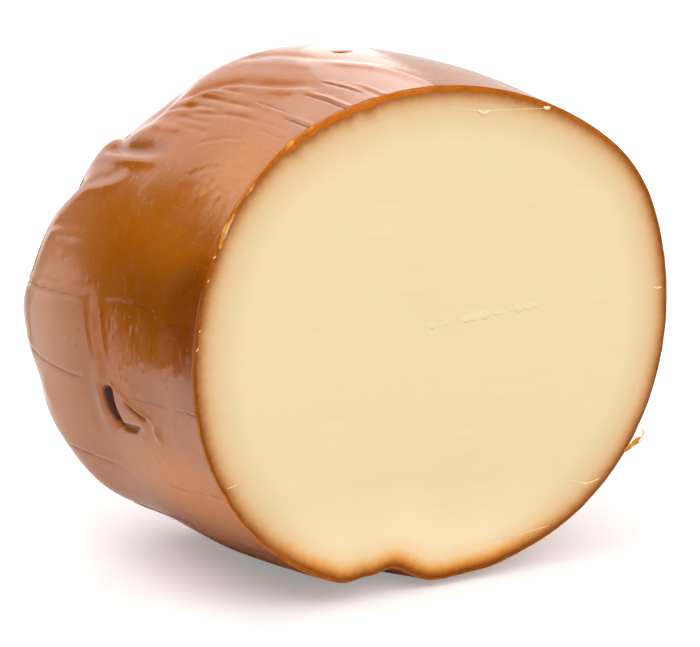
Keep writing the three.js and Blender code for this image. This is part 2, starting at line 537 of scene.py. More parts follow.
POCKET = (
    Swelling(194.6, 29.5, 5.0, 8.0, 0.55),
    Crease(((195.2, 20.5), (193.9, 26), (192.3, 32), (190.3, 37.6)), 0.0, ridge=0.34, ridge_at=-0.5,
           ridge_width=0.42, fade_in=0.1, fade_out=0.1),
    Crease(((195.0, 22.6), (194.3, 26), (193.3, 29.3), (192.3, 32.6)), 0.8, near=0.3, far=0.5,
           fade_in=0.35, fade_out=0.2, hollow_shade=0.95, hollow_shade_width=0.38),
    Crease(((196.8, 25), (197.9, 29), (198.5, 33), (198.6, 36)), 0.9, near=0.9, far=0.6,
           fade_in=0.5, fade_out=0.0, hollow_shade=0.8, hollow_shade_width=0.7),
    Crease(((190.4, 38.3), (193, 38.3), (195.8, 37.6), (198.3, 36.0)), 2.8, near=1.9, far=0.9,
           fade_in=0.16, fade_out=0.1, hollow_shade=1.9, hollow_shade_width=1.35),
    Crease(((190.6, 39.9), (193, 40.0), (195.8, 39.4), (198.2, 37.8)), 0.0, fade_in=0.16, fade_out=0.12,
           hollow_shade=1.9, hollow_shade_width=1.0),
    Swelling(197.2, 20.2, 1.5, 1.0, 0.5),
    Swelling(195.0, 42.5, 5.0, 1.8, 0.35),
    Crease(((190.5, 38.4), (183, 39.6), (176, 41.4), (171, 43.5)), 0.18, near=2.0, far=2.0,
           ridge=0.3, ridge_at=2.2, ridge_width=2.0, fade_in=0.15, fade_out=0.35),
)


@dataclass(frozen=True)
class Tint:
    """A patch that changes the rind's colour, fully at 1 and the other way at -1; each table below says what
    its patches paint.
    """

    angle: float
    depth: float
    across: float
    along: float
    strength: float


# Darker patches, up to 1, and paler ones, down to -1. The patches from 166 to 187 degrees are partly the
# smoke's colour and partly painted shade for the dark reflection there; the one at 227.5 is painted shade
# under the body, the one at 143.5 painted shade in the shoulder fold, and the paler ones at 142 and 209 are
# painted highlights.
SMOKE_SHADE_AND_HIGHLIGHT_PATCHES = (
    Tint(169.0, 2.0, 9.5, 9.0, 0.95),
    Tint(187.0, 2.0, 7.0, 6.0, 0.45),
    Tint(174.0, 16.0, 9.0, 22.0, 0.3),
    Tint(169.0, 28.0, 10.0, 24.0, 0.42),
    Tint(227.5, 6.0, 5.0, 20.0, 0.85),
    Tint(143.5, 38.0, 2.0, 9.0, 0.45),
    Tint(142.0, 6.0, 13.0, 16.0, -0.6),
    Tint(209.0, 16.0, 10.0, 28.0, -0.85),
)

# Painted sheen: patches where the rind's colour turns a paler, milky pink to stand in for the sheen its gloss
# shows; the one at 122 degrees is a painted highlight by the rim.
PAINTED_SHEEN_PATCHES = (
    Tint(186.0, 65.0, 27.0, 13.0, 1.0),
    Tint(122.0, 7.0, 8.0, 10.0, 0.3),
    Tint(28.0, 66.0, 30.0, 12.0, 0.6),
    Tint(300.0, 66.0, 30.0, 12.0, 0.5),
)


@dataclass(frozen=True)
class HiddenGrooves:
    """The net's marks round the sides that the folds above leave plain."""

    first: float = 226.0
    spacing: float = 16.2
    count: int = 16
    seed: int = 5
    straying: float = 2.0
    bend: float = 4.0
    starts: tuple = (30.0, 50.0)
    depths: tuple = (58.0, 70.0, 80.0)
    sinks: tuple = (0.4, 1.0)
    ridges: tuple = (0.1, 0.4)

    def marks(self) -> tuple:
        """Draw one groove after another, each a little different.

        Returns:
            The grooves, as creases.
        """
        rng = np.random.default_rng(self.seed)
        made = []
        for k in range(self.count):
            angle = self.first + k * self.spacing + rng.uniform(-self.straying, self.straying)
            bend = rng.uniform(-self.bend, self.bend)
            angles = (angle + bend, angle + 0.5 * bend, angle, angle - bend)
            path = tuple(zip(angles, (rng.uniform(*self.starts), *self.depths)))
            sink, ridge = rng.uniform(*self.sinks), rng.uniform(*self.ridges)
            made.append(Crease(path, sink, near=0.9, far=0.6, ridge=ridge, ridge_at=1.7, ridge_width=1.1,
                               hollow_shade=0.5, hollow_shade_width=0.5))
        return tuple(made)


# ---------------------------------------------------------------- the cheese

CROWD_STEPS = 2001
SAME_PLACE = 1e-6


def crowded(places: np.ndarray, crowds: tuple, start: float, end: float) -> np.ndarray:
    """Spread even shares from 0 to 1 over a range, closer together round a few places.

    Args:
        places: The shares.
        crowds: Rows of (place, how many times closer, reach).
        start: Start of the range.
        end: End of the range.

    Returns:
        The places in the range.
    """
    fine = np.linspace(start, end, CROWD_STEPS)
    weight = np.ones(fine.shape)
    for place, closer, reach in crowds:
        weight = weight + closer * bell(fine - place, reach)
    total = np.concatenate([[0.0], np.cumsum(0.5 * (weight[1:] + weight[:-1]))])
    return np.interp(places, total / total[-1], fine)


@dataclass
class CheeseBody:
    """The whole cheese as one closed skin: the cut face, the rind and the rounded end.

    Rows of three, such as the rind's widenings, tones and glows, say where round the cut something
    is stronger: an angle, how far it reaches in degrees, and how strong it is. The glows are a painted
    glow, light shining through the paste near the bottom of the rim, painted into its colour.
    """

    form: BodyForm = field(default_factory=BodyForm)
    around: int = 118
    rim_ring: float = 0.9
    wall_rings: int = 28
    wall_end: float = 66.0
    dome_rings: int = 17
    face_rings: tuple = (1.0, 3.0, 7.0, 16.0)
    fineness: int = 2
    angle_crowds: tuple = ((122.0, 3.0, 22.0), (192.0, 2.2, 24.0))
    depth_crowds: tuple = ((33.0, 1.2, 12.0),)
    mm_per_degree: float = math.radians(1.0) * 54.0
    rim_rounding: float = 0.2
    rim_rounding_reach: float = 0.28
    rind_width: float = 0.5
    rind_widenings: tuple = (
        (121.0, 17.0, 0.72), (88.0, 22.0, 0.3), (35.0, 30.0, 0.25),
        (232.0, 12.0, 0.15), (187.0, 10.0, 0.12), (290.0, 20.0, 0.15),
    )
    rind_tones: tuple = ((112.0, 40.0, 1.0), (228.0, 14.0, 0.45), (50.0, 22.0, 0.4), (322.0, 25.0, 0.1))
    # painted glow of light through the paste along the bottom of the rim
    glows: tuple = ((236.0, 13.0, 0.8), (280.0, 22.0, 1.0), (258.0, 14.0, 0.6))
    ragged: float = 0.07
    ragged_top: float = 0.2
    ragged_top_place: float = 122.0
    ragged_top_reach: float = 20.0
    ragged_waves: tuple = (23, 37, 53, 71, 89)
    ragged_wave_share: float = 0.4
    ragged_seed: int = 21
    calm_end_from: float = 0.93
    calm_end: float = 0.8
    rim_turn_reach: float = 1.5
    face_join_reach: float = 2.5
    edge_wear: float = 0.1
    edge_wear_reach: float = 0.35

    def ring_depths(self) -> list[float]:
        """Where the drum's rings lie behind the cut, without the rounded end's pole.

        Returns:
            The depths in mm.
        """
        shares = np.arange(self.wall_rings + 1) / self.wall_rings
        depths = list(crowded(shares, self.depth_crowds, self.rim_ring, self.wall_end))
        left = self.form.length - self.wall_end
        for k in range(1, self.dome_rings):
            depths.append(self.wall_end + left * math.sin(0.5 * math.pi * k / self.dome_rings))
        return [float(depth) for depth in depths]

    def cage(self, middle: Vector) -> bpy.types.Object:
        """A plain drum: a circle extruded ring by ring, closed at both ends, then subdivided.

        Args:
            middle: The middle of the cut face, in metres.

        Returns:
            The drum.
        """
        deselect_all()
        bpy.ops.mesh.primitive_circle_add(
            vertices=self.around, radius=self.form.cut_radius * MM, fill_type="NOTHING",
            location=middle, rotation=(math.pi / 2, 0.0, 0.0),
        )
        cheese = bpy.context.object
        cheese.name = "smoked_scamorza"
        bpy.ops.object.transform_apply(location=True, rotation=True, scale=True)
        bpy.ops.object.mode_set(mode="EDIT")
        bpy.ops.mesh.select_all(action="SELECT")
        done = 0.0
        for depth in [*self.ring_depths(), self.form.length]:
            step = {"value": (0.0, (depth - done) * MM, 0.0)}
            bpy.ops.mesh.extrude_region_move(TRANSFORM_OT_translate=step)
            done = depth
        bpy.ops.mesh.merge(type="CENTER")
        self._select_ring(cheese, middle.y)
        size = self.form.cut_radius
        for ring in self.face_rings:
            wanted = self.form.cut_radius - ring
            bpy.ops.mesh.extrude_region_move()
            bpy.ops.transform.resize(value=(wanted / size,) * 3, center_override=middle)
            size = wanted
        bpy.ops.mesh.extrude_region_move()
        bpy.ops.mesh.merge(type="CENTER")
        bpy.ops.mesh.select_all(action="SELECT")
        bpy.ops.mesh.normals_make_consistent(inside=False)
        bpy.ops.object.mode_set(mode="OBJECT")
        finer = cheese.modifiers.new("finer", "SUBSURF")
        finer.subdivision_type = "SIMPLE"
        finer.levels = finer.render_levels = self.fineness
        bpy.ops.object.modifier_apply(modifier=finer.name)
        return cheese

    @staticmethod
    def _select_ring(cheese: bpy.types.Object, y: float) -> None:
        """Select the open ring that lies in the plane of the cut.

        Args:
            cheese: The drum, open at the cut.
            y: Where the plane of the cut lies, in metres.
        """
        bpy.ops.mesh.select_all(action="DESELECT")
        bpy.ops.object.mode_set(mode="OBJECT")
        mesh = cheese.data
        for vertex in mesh.vertices:
            vertex.select = abs(vertex.co.y - y) < SAME_PLACE
        for edge in mesh.edges:
            edge.select = all(mesh.vertices[v].select for v in edge.vertices)
        bpy.ops.object.mode_set(mode="EDIT")

    def marks(self) -> tuple:
        """Every fold, groove and bump of the rind."""
        return (
            Undulation(seed=3, rise=0.13, waves=12, most_round=7, shortest=36.0),
            Undulation(seed=8, rise=0.014, waves=14, most_round=12, shortest=7.0),
            *BODY_FIT, *TOP_FOLDS, *SHOULDER_FOLDS, *NET_GROOVES, *POCKET,
            *HiddenGrooves().marks(),
            Pimples(11, 260, (0, 360), (2, 74), (0.3, 0.6), (0.02, 0.07)),
            Pimples(12, 90, (166, 213), (3, 36), (0.4, 0.52), (0.05, 0.12), stretch=1.1),
            Pimples(13, 34, (166, 210), (4, 50), (0.4, 0.5), (-0.08, -0.04), stretch=1.1),
            Pimples(14, 60, (134, 150), (2, 16), (0.36, 0.48), (0.05, 0.11), stretch=1.1),
        )

    def patches(self, tints: tuple, angle: np.ndarray, depth: np.ndarray) -> np.ndarray:
        """How strongly some patches colour each place.

        Args:
            tints: The patches.
            angle: Angles of the points.
            depth: Their depths in mm behind the cut.

        Returns:
            The strengths, from -1 to 1.
        """
        total = np.zeros(angle.shape)
        for patch in tints:
            u = turn_between(angle, patch.angle) * self.mm_per_degree / patch.across
            v = (depth - patch.depth) / patch.along
            total += patch.strength * np.exp(-(u**2) - v**2)
        return np.clip(total, -1.0, 1.0)

    @staticmethod
    def round_the_cut(angle: np.ndarray, stretches: tuple) -> np.ndarray:
        """Add up soft stretches round the cut.

        Args:
            angle: Angles of the points.
            stretches: Rows of (angle, reach, value).

        Returns:
            The sum at each point.
        """
        total = np.zeros(angle.shape)
        for place, reach, value in stretches:
            total += value * bell(turn_between(angle, place), reach)
        return total

    def raggedness(self, angle: np.ndarray) -> np.ndarray:
        """How far the cut's edge strays inwards.

        Args:
            angle: Angles of the points.

        Returns:
            The distances in mm.
        """
        rng = np.random.default_rng(self.ragged_seed)
        total = np.zeros(angle.shape)
        for turns in self.ragged_waves:
            total += np.cos(turns * np.radians(angle) + rng.uniform(0, 2 * math.pi))
        from_top = turn_between(angle, self.ragged_top_place)
        size = self.ragged + self.ragged_top * bell(from_top, self.ragged_top_reach)
        return size * self.ragged_wave_share * total

    @staticmethod
    def from_rim(points: np.ndarray, rim: np.ndarray) -> np.ndarray:
        """How far points on the cut are from its outline.

        Args:
            points: Rows of (x, z).
            rim: The outline's corners in order, as rows of (x, z).

        Returns:
            The distances in mm.
        """
        nearest = np.full(len(points), np.inf)
        for start, end in zip(rim, np.roll(rim, -1, axis=0)):
            side = end - start
            along = np.clip((points - start) @ side / (side @ side), 0.0, 1.0)
            nearest = np.minimum(nearest, np.hypot(*(points - start - along[:, None] * side).T))
        return nearest

    def shape(self, cheese: bpy.types.Object, middle: Vector) -> None:
        """Move every point of the drum to its place on the cheese, folds and all.

        Args:
            cheese: The subdivided drum.
            middle: The middle of the cut face, in metres.
        """
        mesh = cheese.data
        count = len(mesh.vertices)
        co = np.zeros(count * 3)
        mesh.vertices.foreach_get("co", co)
        co = (co.reshape(-1, 3) - np.array(middle)) / MM
        turn = np.degrees(np.arctan2(co[:, 2], co[:, 0])) % TURN
        depth = np.clip(co[:, 1], 0.0, self.form.length)
        on_face = co[:, 1] < 1e-4
        chord = np.hypot(co[:, 0], co[:, 2])
        # the drum's sides lie inside its circle, so the face is measured up to them
        flat = math.pi / self.around
        local = np.radians(turn) % (2 * flat) - flat
        inwards = np.clip(chord * np.cos(local) / (self.form.cut_radius * math.cos(flat)), 0.0, 1.0)
        inwards = np.where(inwards > 1.0 - 1e-5, 1.0, inwards)
        angle = crowded(turn / TURN, self.angle_crowds, 0.0, TURN) % TURN
        share = depth / self.form.length

        base = self.form.point(angle, share)
        normal = self.form.normal(angle, share)
        height, hollow_shade = np.zeros(count), np.zeros(count)
        for mark in self.marks():
            rise, dark = mark.marked(angle, depth, self.mm_per_degree)
            height += rise
            hollow_shade = np.maximum(hollow_shade, dark)
        height *= 1.0 - ramp(share, self.calm_end_from, 1.0) * self.calm_end
        outward = np.stack([np.cos(np.radians(angle)), 0.0 * angle, np.sin(np.radians(angle))], -1)
        at_rim = 1.0 - ramp(depth, 0.0, self.rim_turn_reach)
        direction = normal * (1.0 - at_rim[:, None]) + outward * at_rim[:, None]
        worn = self.rim_rounding + self.raggedness(angle)
        rounding = worn * bell(depth, self.rim_rounding_reach)
        shaped = base + direction * (height - rounding)[:, None]
        shaped[:, 2] = self.form.rested(shaped[:, 2])

        plain = self.form.point(angle, np.zeros(count))
        rim = shaped.copy()
        rim[:, 1] = 0.0
        inside = plain * inwards[:, None]
        nearness = 1.0 - ramp((1.0 - inwards) * self.form.cut_radius, 0.0, self.face_join_reach)
        face = inside + (rim - plain) * nearness[:, None]
        edge = on_face & (inwards == 1.0)
        corners = rim[edge][np.argsort(turn[edge])][:, [0, 2]]
        gap = np.zeros(count)
        gap[on_face] = self.from_rim(face[on_face][:, [0, 2]], corners)
        wear = self.edge_wear * bell(gap, self.edge_wear_reach)
        face[:, 1] = wear + self.face_unevenness(face[:, 0], face[:, 2])
        result = np.where(on_face[:, None], face, shaped)
        mesh.vertices.foreach_set("co", (result * MM + np.array(middle)).ravel())

        width = self.rind_width + self.round_the_cut(angle, self.rind_widenings)
        self.keep_mask(mesh, Mask.FROM_RIM, gap)
        self.keep_mask(mesh, Mask.RIND_WIDTH, width)
        self.keep_mask(mesh, Mask.RIND_TONE, self.round_the_cut(angle, self.rind_tones))
        # painted glow, kept for the paste's colour
        self.keep_mask(mesh, Mask.GLOW, self.round_the_cut(angle, self.glows))
        # painted shade of the folds and pits, kept for the rind's colour
        self.keep_mask(mesh, Mask.STAIN, np.where(on_face, 0.0, hollow_shade))
        # smoke colour mixed with painted shade and painted highlights, kept for the rind's colour
        self.keep_mask(mesh, Mask.SMOKE, self.patches(SMOKE_SHADE_AND_HIGHLIGHT_PATCHES, angle, depth))
        # painted sheen, kept for the rind's colour
        self.keep_mask(mesh, Mask.BLOOM, self.patches(PAINTED_SHEEN_PATCHES, angle, depth))
        mesh.update()
        faces = np.array([all(on_face[v] for v in p.vertices) for p in mesh.polygons])
        mesh.polygons.foreach_set("material_index", faces.astype(np.int32))

    @staticmethod
    def face_unevenness(x: np.ndarray, z: np.ndarray) -> np.ndarray:
        """How far the knife strayed into the cheese.

        Args:
            x: The points' places across, in mm.
            z: Their heights, in mm.

        Returns:
            The distances in mm.
        """
        slant, swing, ripple = 0.12, 0.10, 0.05
        along = z - slant * x
        swings = swing * (1.0 + np.sin(along / 9.0 + 0.7)) * (0.6 + 0.4 * np.sin(x / 21.0))
        return swings + ripple * (1.0 + np.sin(along / 3.1 + x / 60.0))

    @staticmethod
    def keep_mask(mesh: bpy.types.Mesh, mask: Mask, values: np.ndarray) -> None:
        """Store one value for each point."""
        layer = mesh.attributes.new(mask.value, "FLOAT", "POINT")
        layer.data.foreach_set("value", values.astype(np.float32))

    def build(self, low: Vector, high: Vector) -> bpy.types.Object:
        """Model the cheese in the CAD body's box.

        Args:
            low: The lowest corner of the box, in metres.
            high: Its highest corner.

        Returns:
            The cheese, not yet dressed.
        """
        middle = self.form.middle_of_cut(low, high)
        cheese = self.cage(middle)
        self.shape(cheese, middle)
        deselect_all()
        cheese.select_set(True)
        bpy.context.view_layer.objects.active = cheese
        bpy.ops.object.shade_smooth()
        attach(cheese, "root")
        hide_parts(CAD_NODE)
        return cheese


# ---------------------------------------------------------------- what the knife left


@dataclass(frozen=True)
class Sliver:
    """A shaving or burr the knife left on the cut.

    The path runs through points (x, stand-off, z) in mm from the middle of the cut.
    """

    name: str
    path: tuple
    width: float
    thickness: float = 0.12
    slot: Slot = Slot.PASTE
    seed: int = 1
    ragged: float = 0.25
    lengthways: int = 28
    crossways: int = 5
    least_half_width: float = 0.01
    rag_waves: tuple = (9.0, 17.0, 31.0)
    rag_phase: float = 6.3

    def build(self, middle: Vector) -> bpy.types.Object:
        """Roll the sliver out along its path.

        Args:
            middle: The middle of the cut face, in metres.

        Returns:
            The sliver, not yet dressed.
        """
        deselect_all()
        bpy.ops.mesh.primitive_grid_add(
            x_subdivisions=self.lengthways, y_subdivisions=self.crossways, size=2.0
        )
        sliver = bpy.context.object
        sliver.name = self.name
        mesh = sliver.data
        co = np.zeros(len(mesh.vertices) * 3)
        mesh.vertices.foreach_get("co", co)
        co = co.reshape(-1, 3)
        along, across = 0.5 * (co[:, 0] + 1.0), co[:, 1]
        knots = np.linspace(0.0, 1.0, len(self.path))
        points = np.array(self.path, dtype=float)
        step = 0.5 / self.lengthways
        line = [np.interp(along, knots, points[:, axis]) for axis in range(3)]
        ahead = [np.interp(along + step, knots, points[:, axis]) for axis in (0, 2)]
        behind = [np.interp(along - step, knots, points[:, axis]) for axis in (0, 2)]
        run, climb = ahead[0] - behind[0], ahead[1] - behind[1]
        length = np.maximum(np.hypot(run, climb), 1e-6)
        rng = np.random.default_rng(self.seed)
        rag = sum(np.sin(turns * along + rng.uniform(0, self.rag_phase)) for turns in self.rag_waves)
        rag = rag / len(self.rag_waves)
        half = 0.5 * self.width * (np.sin(math.pi * along) ** 0.5) * (1.0 + self.ragged * rag)
        half = half + self.least_half_width
        x = line[0] - across * half * climb / length
        z = line[2] + across * half * run / length
        crown = self.thickness * (1.0 - across**2) * np.sin(math.pi * along)
        y = CheeseBody.face_unevenness(x, z) - line[1] - crown
        mesh.vertices.foreach_set("co", (np.stack([x, y, z], -1) * MM + np.array(middle)).ravel())
        mesh.update()
        modifier = sliver.modifiers.new("thickness", "SOLIDIFY")
        modifier.thickness = self.thickness * MM
        modifier.offset = 0.0
        bpy.ops.object.modifier_apply(modifier=modifier.name)
        bpy.ops.object.shade_smooth()
        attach(sliver, "root")
        return sliver


BURRS = (
    Sliver(
        "burr_top",
        ((0.4, 0, 45.8), (5, 0, 45.0), (8.4, 0, 44.5), (12.2, 0, 44.7), (18.2, 0, 44.6), (24.3, 0, 44.5)),
        0.13, 0.05, ragged=0.8,
    ),
    Sliver("crumb_top", ((6.9, 0, 44.9), (8.3, 0.1, 44.2), (9.8, 0, 44.7)), 0.7, 0.25, seed=2, ragged=0.5),
    Sliver(
        "crumb_right", ((22.8, 0, 44.8), (23.6, 0.1, 44.5), (24.4, 0, 44.7)), 0.6, 0.25, seed=3, ragged=0.5
    ),
    Sliver(
        "scrape_left", ((-5.7, 0.02, 2.7), (-1, 0.03, 2.9), (3.5, 0.02, 3.3)), 1.3, 0.03, seed=4, ragged=0.9
    ),
    Sliver(
        "scrape_middle", ((2.5, 0.02, 3.3), (9, 0.03, 3.8), (15, 0.02, 4.1)), 1.9, 0.04, seed=5, ragged=0.9
    ),
    Sliver("scrape_right", ((13.5, 0, 4.2), (19, 0, 4.5), (24.8, 0, 4.8)), 1.5, 0.03, seed=6, ragged=0.9),
    Sliver(
        "crack_right",
        ((28.8, 0, -33.8), (32.7, 0, -34.3), (35.3, 0.05, -35.2), (37.4, 0, -35.1), (39.4, 0, -34.6)),
        0.4, 0.1, seed=7, ragged=0.7,
    ),
    Sliver(
        "crack_left", ((-49.0, 0, -24.3), (-48.0, 0, -24.2), (-46.8, 0, -23.8)),
        0.16, 0.03, seed=8, ragged=0.5,
    ),
    Sliver("nick_right", ((52.3, 0, 5.5), (53.4, 0, 5.3), (54.5, 0, 5.4)), 0.35, 0.1, seed=9),
    Sliver(
        "knife_line_low", ((10.5, 0, -44.0), (18, 0, -43.8), (26.4, 0, -43.1)), 0.2, 0.05, seed=10, ragged=0.6
    ),
)

SHREDS = (
    Sliver(
        "shred_root", ((45.6, 0, -29.6), (46.9, 0.2, -28.6), (48.4, 0.4, -27.5), (49.5, 0.5, -26.7)),
        1.1, 0.2, Slot.RIND, 11,
    ),
    Sliver(
        "flake_lens", ((-49.9, 0, 21.6), (-48.9, 0.15, 24.9), (-46.7, 0, 28.0)), 1.0, 0.2, Slot.RIND, 12, 0.35
    ),
    Sliver(
        "flake_top", ((-36.2, 0, 39.1), (-34.9, 0.15, 40.3), (-33.6, 0, 41.2)), 0.8, 0.2, Slot.RIND, 13, 0.5
    ),
    Sliver(
        "flake_upper", ((-32.0, 0, 41.9), (-30.9, 0.1, 42.7), (-29.8, 0, 43.4)), 0.6, 0.2, Slot.RIND, 14, 0.5
    ),
    Sliver(
        "flake_left", ((-44.4, 0, 31.1), (-43.3, 0.1, 32.3), (-42.4, 0, 33.4)), 0.5, 0.15, Slot.RIND, 15, 0.5
    ),
)

PALE_BITS = (
    Sliver(
        "shred_hook", ((49.0, 0.5, -27.5), (49.9, 0.6, -26.6), (50.3, 0.5, -25.7), (50.1, 0.3, -24.9)),
        0.35, 0.12, Slot.RIND, 16,
    ),
    Sliver(
        "shred_fray", ((48.0, 0.4, -28.5), (49.1, 0.7, -27.8), (50.5, 0.6, -27.0)), 0.25, 0.1, Slot.RIND, 17
    ),
    Sliver(
        "lens_cream", ((-49.2, 0.2, 23.2), (-48.5, 0.3, 25.1), (-47.4, 0.2, 27.0)), 0.35, 0.15, Slot.RIND, 18
    ),
    Sliver("dash", ((-51.2, 0, 19.9), (-50.6, 0.1, 20.4)), 0.2, 0.1, Slot.RIND, 19),
    Sliver("speck_upper", ((-52.4, 0, 15.6), (-52.1, 0.1, 16.1)), 0.18, 0.1, Slot.RIND, 20),
    Sliver("speck_lower", ((-54.3, 0, 6.3), (-54.1, 0.1, 6.8)), 0.16, 0.1, Slot.RIND, 21),
    Sliver("tuft", ((-54.9, 0, 2.8), (-54.5, 0.15, 3.4)), 0.22, 0.1, Slot.RIND, 22),
)


# ---------------------------------------------------------------- finishes


class Nodes:
    """A short way of placing and joining shader nodes in one tree."""

    def __init__(self, tree: bpy.types.NodeTree) -> None:
        """Start with a tree."""
        self.tree = tree

    def add(self, kind: str, inputs: dict | None = None, **settings) -> bpy.types.Node:
        """Place a node.

        Args:
            kind: The node's type name.
            inputs: Values or sockets for its inputs, by name or index.
            settings: Its own settings.

        Returns:
            The node.
        """
        node = self.tree.nodes.new(kind)
        for name, value in settings.items():
            setattr(node, name, value)
        for name, value in (inputs or {}).items():
            self.put(node.inputs[name], value)
        return node

    def put(self, socket: bpy.types.NodeSocket, value: object) -> None:
        """Join a socket to an input, or set the input's value."""
        if isinstance(value, bpy.types.NodeSocket):
            self.tree.links.new(value, socket)
        else:
            socket.default_value = value

    def math(self, operation: str, a: object, b: object = 0.0, clamp: bool = False) -> bpy.types.NodeSocket:
        """A Math node's result."""
        node = self.add("ShaderNodeMath", {0: a, 1: b}, operation=operation, use_clamp=clamp)
        return node.outputs[0]

    def mix(self, share: object, a: object, b: object) -> bpy.types.NodeSocket:
        """Mix two colours.

        Args:
            share: How much of the second colour there is.
            a: The first colour.
            b: The second colour.

        Returns:
            The mixed colour.
        """
        node = self.add("ShaderNodeMix", data_type="RGBA")
        self.put(node.inputs[0], share)
        self.put(node.inputs[6], a)
        self.put(node.inputs[7], b)
        return node.outputs[2]

    def step(
        self, value: object, start: float, end: float, low: float = 0.0, high: float = 1.0
    ) -> bpy.types.NodeSocket:
        """Turn a value into a smooth step.

        Args:
            value: The value.
            start: Where the step starts.
            end: Where it ends.
            low: The result before the start.
            high: The result past the end.

        Returns:
            The result.
        """
        node = self.add("ShaderNodeMapRange", interpolation_type="SMOOTHSTEP")
        for index, number in enumerate((value, start, end, low, high)):
            self.put(node.inputs[index], number)
        return node.outputs[0]

    def noise(
        self, vector: object, scale: float, detail: float = 2.0, roughness: float = 0.5
    ) -> bpy.types.NodeSocket:
        """A noise texture's value."""
        given = {"Vector": vector, "Scale": scale, "Detail": detail, "Roughness": roughness}
        return self.add("ShaderNodeTexNoise", given).outputs[0]

    def colours(self, value: object, stops: tuple) -> bpy.types.NodeSocket:
        """Find the colour that a value falls on.

        Args:
            value: The value.
            stops: Rows of (value, colour), the first at zero.

        Returns:
            The colour.
        """
        reach = stops[-1][0]
        node = self.add("ShaderNodeValToRGB", {0: self.math("DIVIDE", value, reach)})
        elements = node.color_ramp.elements
        while len(elements) < len(stops):
            elements.new(1.0)
        for element, (place, colour) in zip(elements, stops):
            element.position = place / reach
            element.color = colour
        return node.outputs[0]

    def grain(self, vector: object, scale: float, low: float, high: float) -> bpy.types.NodeSocket:
        """Place the grain that rind and paste share.

        Args:
            vector: Where the grain is read.
            scale: How fine it is.
            low: Its lowest value.
            high: Its highest value.

        Returns:
            The grain.
        """
        group = self.add("ShaderNodeGroup", node_tree=grain_group())
        for name, value in (("Place", vector), ("Scale", scale), ("Low", low), ("High", high)):
            self.put(group.inputs[name], value)
        return group.outputs["Grain"]

    def bump(self, shader: bpy.types.Node, height: object, strength: float, distance: float) -> None:
        """Let a height roughen a shader's surface."""
        node = self.add("ShaderNodeBump", {"Strength": strength, "Distance": distance, "Height": height})
        self.put(shader.inputs["Normal"], node.outputs[0])

    def mask(self, mask: Mask) -> bpy.types.NodeSocket:
        """A value kept on the mesh."""
        return self.add("ShaderNodeAttribute", attribute_name=mask.value).outputs["Fac"]


def grain_group() -> bpy.types.NodeTree:
    """The fine mottling every finish shares, built the first time it is asked for.

    Returns:
        The node group.
    """
    name = "cheese_grain"
    if name in bpy.data.node_groups:
        return bpy.data.node_groups[name]
    tree = bpy.data.node_groups.new(name, "ShaderNodeTree")
    tree.interface.new_socket("Place", in_out="INPUT", socket_type="NodeSocketVector")
    for label in ("Scale", "Low", "High"):
        tree.interface.new_socket(label, in_out="INPUT", socket_type="NodeSocketFloat")
    tree.interface.new_socket("Grain", in_out="OUTPUT", socket_type="NodeSocketFloat")
    nodes = Nodes(tree)
    given = nodes.add("NodeGroupInput").outputs
    speckle = nodes.noise(given["Place"], given["Scale"], 3.0, 0.6)
    grain = nodes.step(speckle, 0.3, 0.72, given["Low"], given["High"])
    nodes.add("NodeGroupOutput", {"Grain": grain})
    return tree


def new_material(name: str) -> tuple[bpy.types.Material, Nodes, bpy.types.Node]:
    """An empty node material with a Principled shader.

    Args:
        name: The material's name.

    Returns:
        The material, its nodes and its shader.
    """
    material = bpy.data.materials.new(name)
    material.use_nodes = True
    material.node_tree.nodes.clear()
    nodes = Nodes(material.node_tree)
    shader = nodes.add("ShaderNodeBsdfPrincipled")
    nodes.add("ShaderNodeOutputMaterial", {"Surface": shader.outputs[0]})
    return material, nodes, shader


